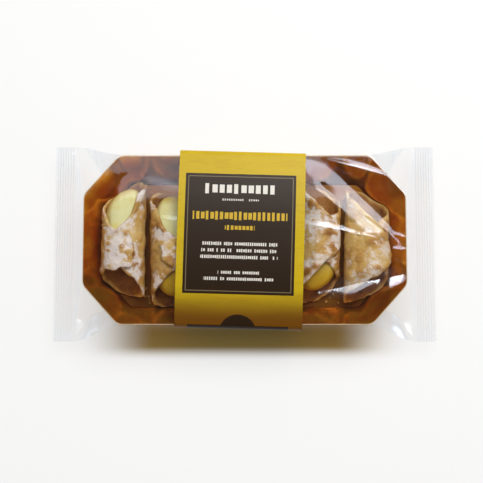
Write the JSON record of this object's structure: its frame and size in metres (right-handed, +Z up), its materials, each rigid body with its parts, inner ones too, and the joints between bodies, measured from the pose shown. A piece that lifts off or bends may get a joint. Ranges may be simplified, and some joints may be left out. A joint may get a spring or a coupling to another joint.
{
  "type": "flow-wrapped tray of cannoli",
  "caption": "Low eight-sided tray of filled pastry tubes, sealed in clear film with a crimped fin at each end and held by a folded card band round its middle.",
  "frame": {"origin": "on the ground under the middle of the pack", "axes": "+X along the tray from fin to fin, +Y across it towards its back edge, +Z up out of its top"},
  "size_m": [0.264, 0.136, 0.0398],
  "materials": {
    "clear_film": "clear film over a gold tray and golden pastry, shown opaque",
    "yellow_card": "satin printed card, yellow with a dark panel"
  },
  "bodies": {
    "root": {"film_wrap": "clear_film", "card_band": "yellow_card"}
  },
  "joints": []
}
